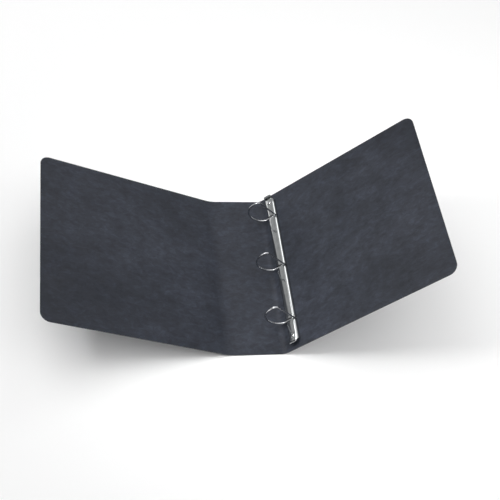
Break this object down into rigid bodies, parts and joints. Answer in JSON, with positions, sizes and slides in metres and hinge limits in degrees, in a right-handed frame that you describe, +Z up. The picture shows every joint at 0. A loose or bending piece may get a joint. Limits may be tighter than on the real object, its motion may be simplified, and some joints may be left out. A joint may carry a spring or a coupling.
{
  "type": "three-ring binder",
  "caption": "Pressboard ring binder lying open: flat spine, two hinged covers and D-shaped rings opened by a lever at each end of a metal channel on the back cover",
  "frame": {"origin": "underside of the spine panel, midway along the spine and midway between the two creases, where the binder rests on a table", "axes": "+Y along the row of rings, +X across the binder towards the back cover that carries the rings, +Z up"},
  "size_m": [0.6113, 0.32, 0.2344],
  "materials": {
    "pressboard": "satin",
    "creased_board": "satin",
    "nickel": "satin",
    "ring_wire": "gloss",
    "dark_steel": "satin"
  },
  "bodies": {
    "spine": {"spine_panel": "pressboard", "front_crease": "creased_board", "back_crease": "creased_board"},
    "front_cover": {"front_cover": "pressboard"},
    "back_cover": {"back_cover": "pressboard", "ring_channel": "nickel", "rivet_far": "nickel", "rivet_near": "nickel", "washer_far": "nickel", "washer_near": "nickel"},
    "curved_side": {"curved_blade": "dark_steel", "ring_curved_1": "ring_wire", "ring_curved_2": "ring_wire", "ring_curved_3": "ring_wire"},
    "post_side": {"post_blade": "dark_steel", "ring_post_1": "ring_wire", "ring_post_2": "ring_wire", "ring_post_3": "ring_wire"},
    "trigger_far": {"trigger_far": "nickel"},
    "trigger_near": {"trigger_near": "nickel"}
  },
  "joints": [
    {"name": "front_cover_hinge", "type": "hinge", "parent": "spine", "child": "front_cover", "pos_m": [-0.04312, 0, 0.0156], "axis": [0, 1, 0], "range_deg": [-21.7, 68.3], "deforming": ["front_crease"]},
    {"name": "back_cover_hinge", "type": "hinge", "parent": "spine", "child": "back_cover", "pos_m": [0.03953, 0, 0.0156], "axis": [0, -1, 0], "range_deg": [-46.65, 43.35], "deforming": ["back_crease"]},
    {"name": "ring_opening", "type": "hinge", "parent": "back_cover", "child": "curved_side", "pos_m": [0.0551, 0, 0.01607], "axis": [0, -1, 0], "range_deg": [0, 6.5]},
    {"name": "post_side_opening", "type": "hinge", "parent": "back_cover", "child": "post_side", "pos_m": [0.06471, 0, 0.02625], "axis": [0, 1, 0], "range_deg": [0, 6.5]},
    {"name": "far_trigger_press", "type": "hinge", "parent": "back_cover", "child": "trigger_far", "pos_m": [0.06107, 0.1465, 0.02006], "axis": [-0.6865, 0, -0.7272], "range_deg": [0, 13]},
    {"name": "near_trigger_press", "type": "hinge", "parent": "back_cover", "child": "trigger_near", "pos_m": [0.06107, -0.1465, 0.02006], "axis": [0.6865, 0, 0.7272], "range_deg": [0, 13]}
  ],
  "couplings": [
    {"joint": "post_side_opening", "follows": "ring_opening", "ratio": 1},
    {"joint": "far_trigger_press", "follows": "ring_opening", "ratio": 2},
    {"joint": "near_trigger_press", "follows": "ring_opening", "ratio": 2}
  ]
}
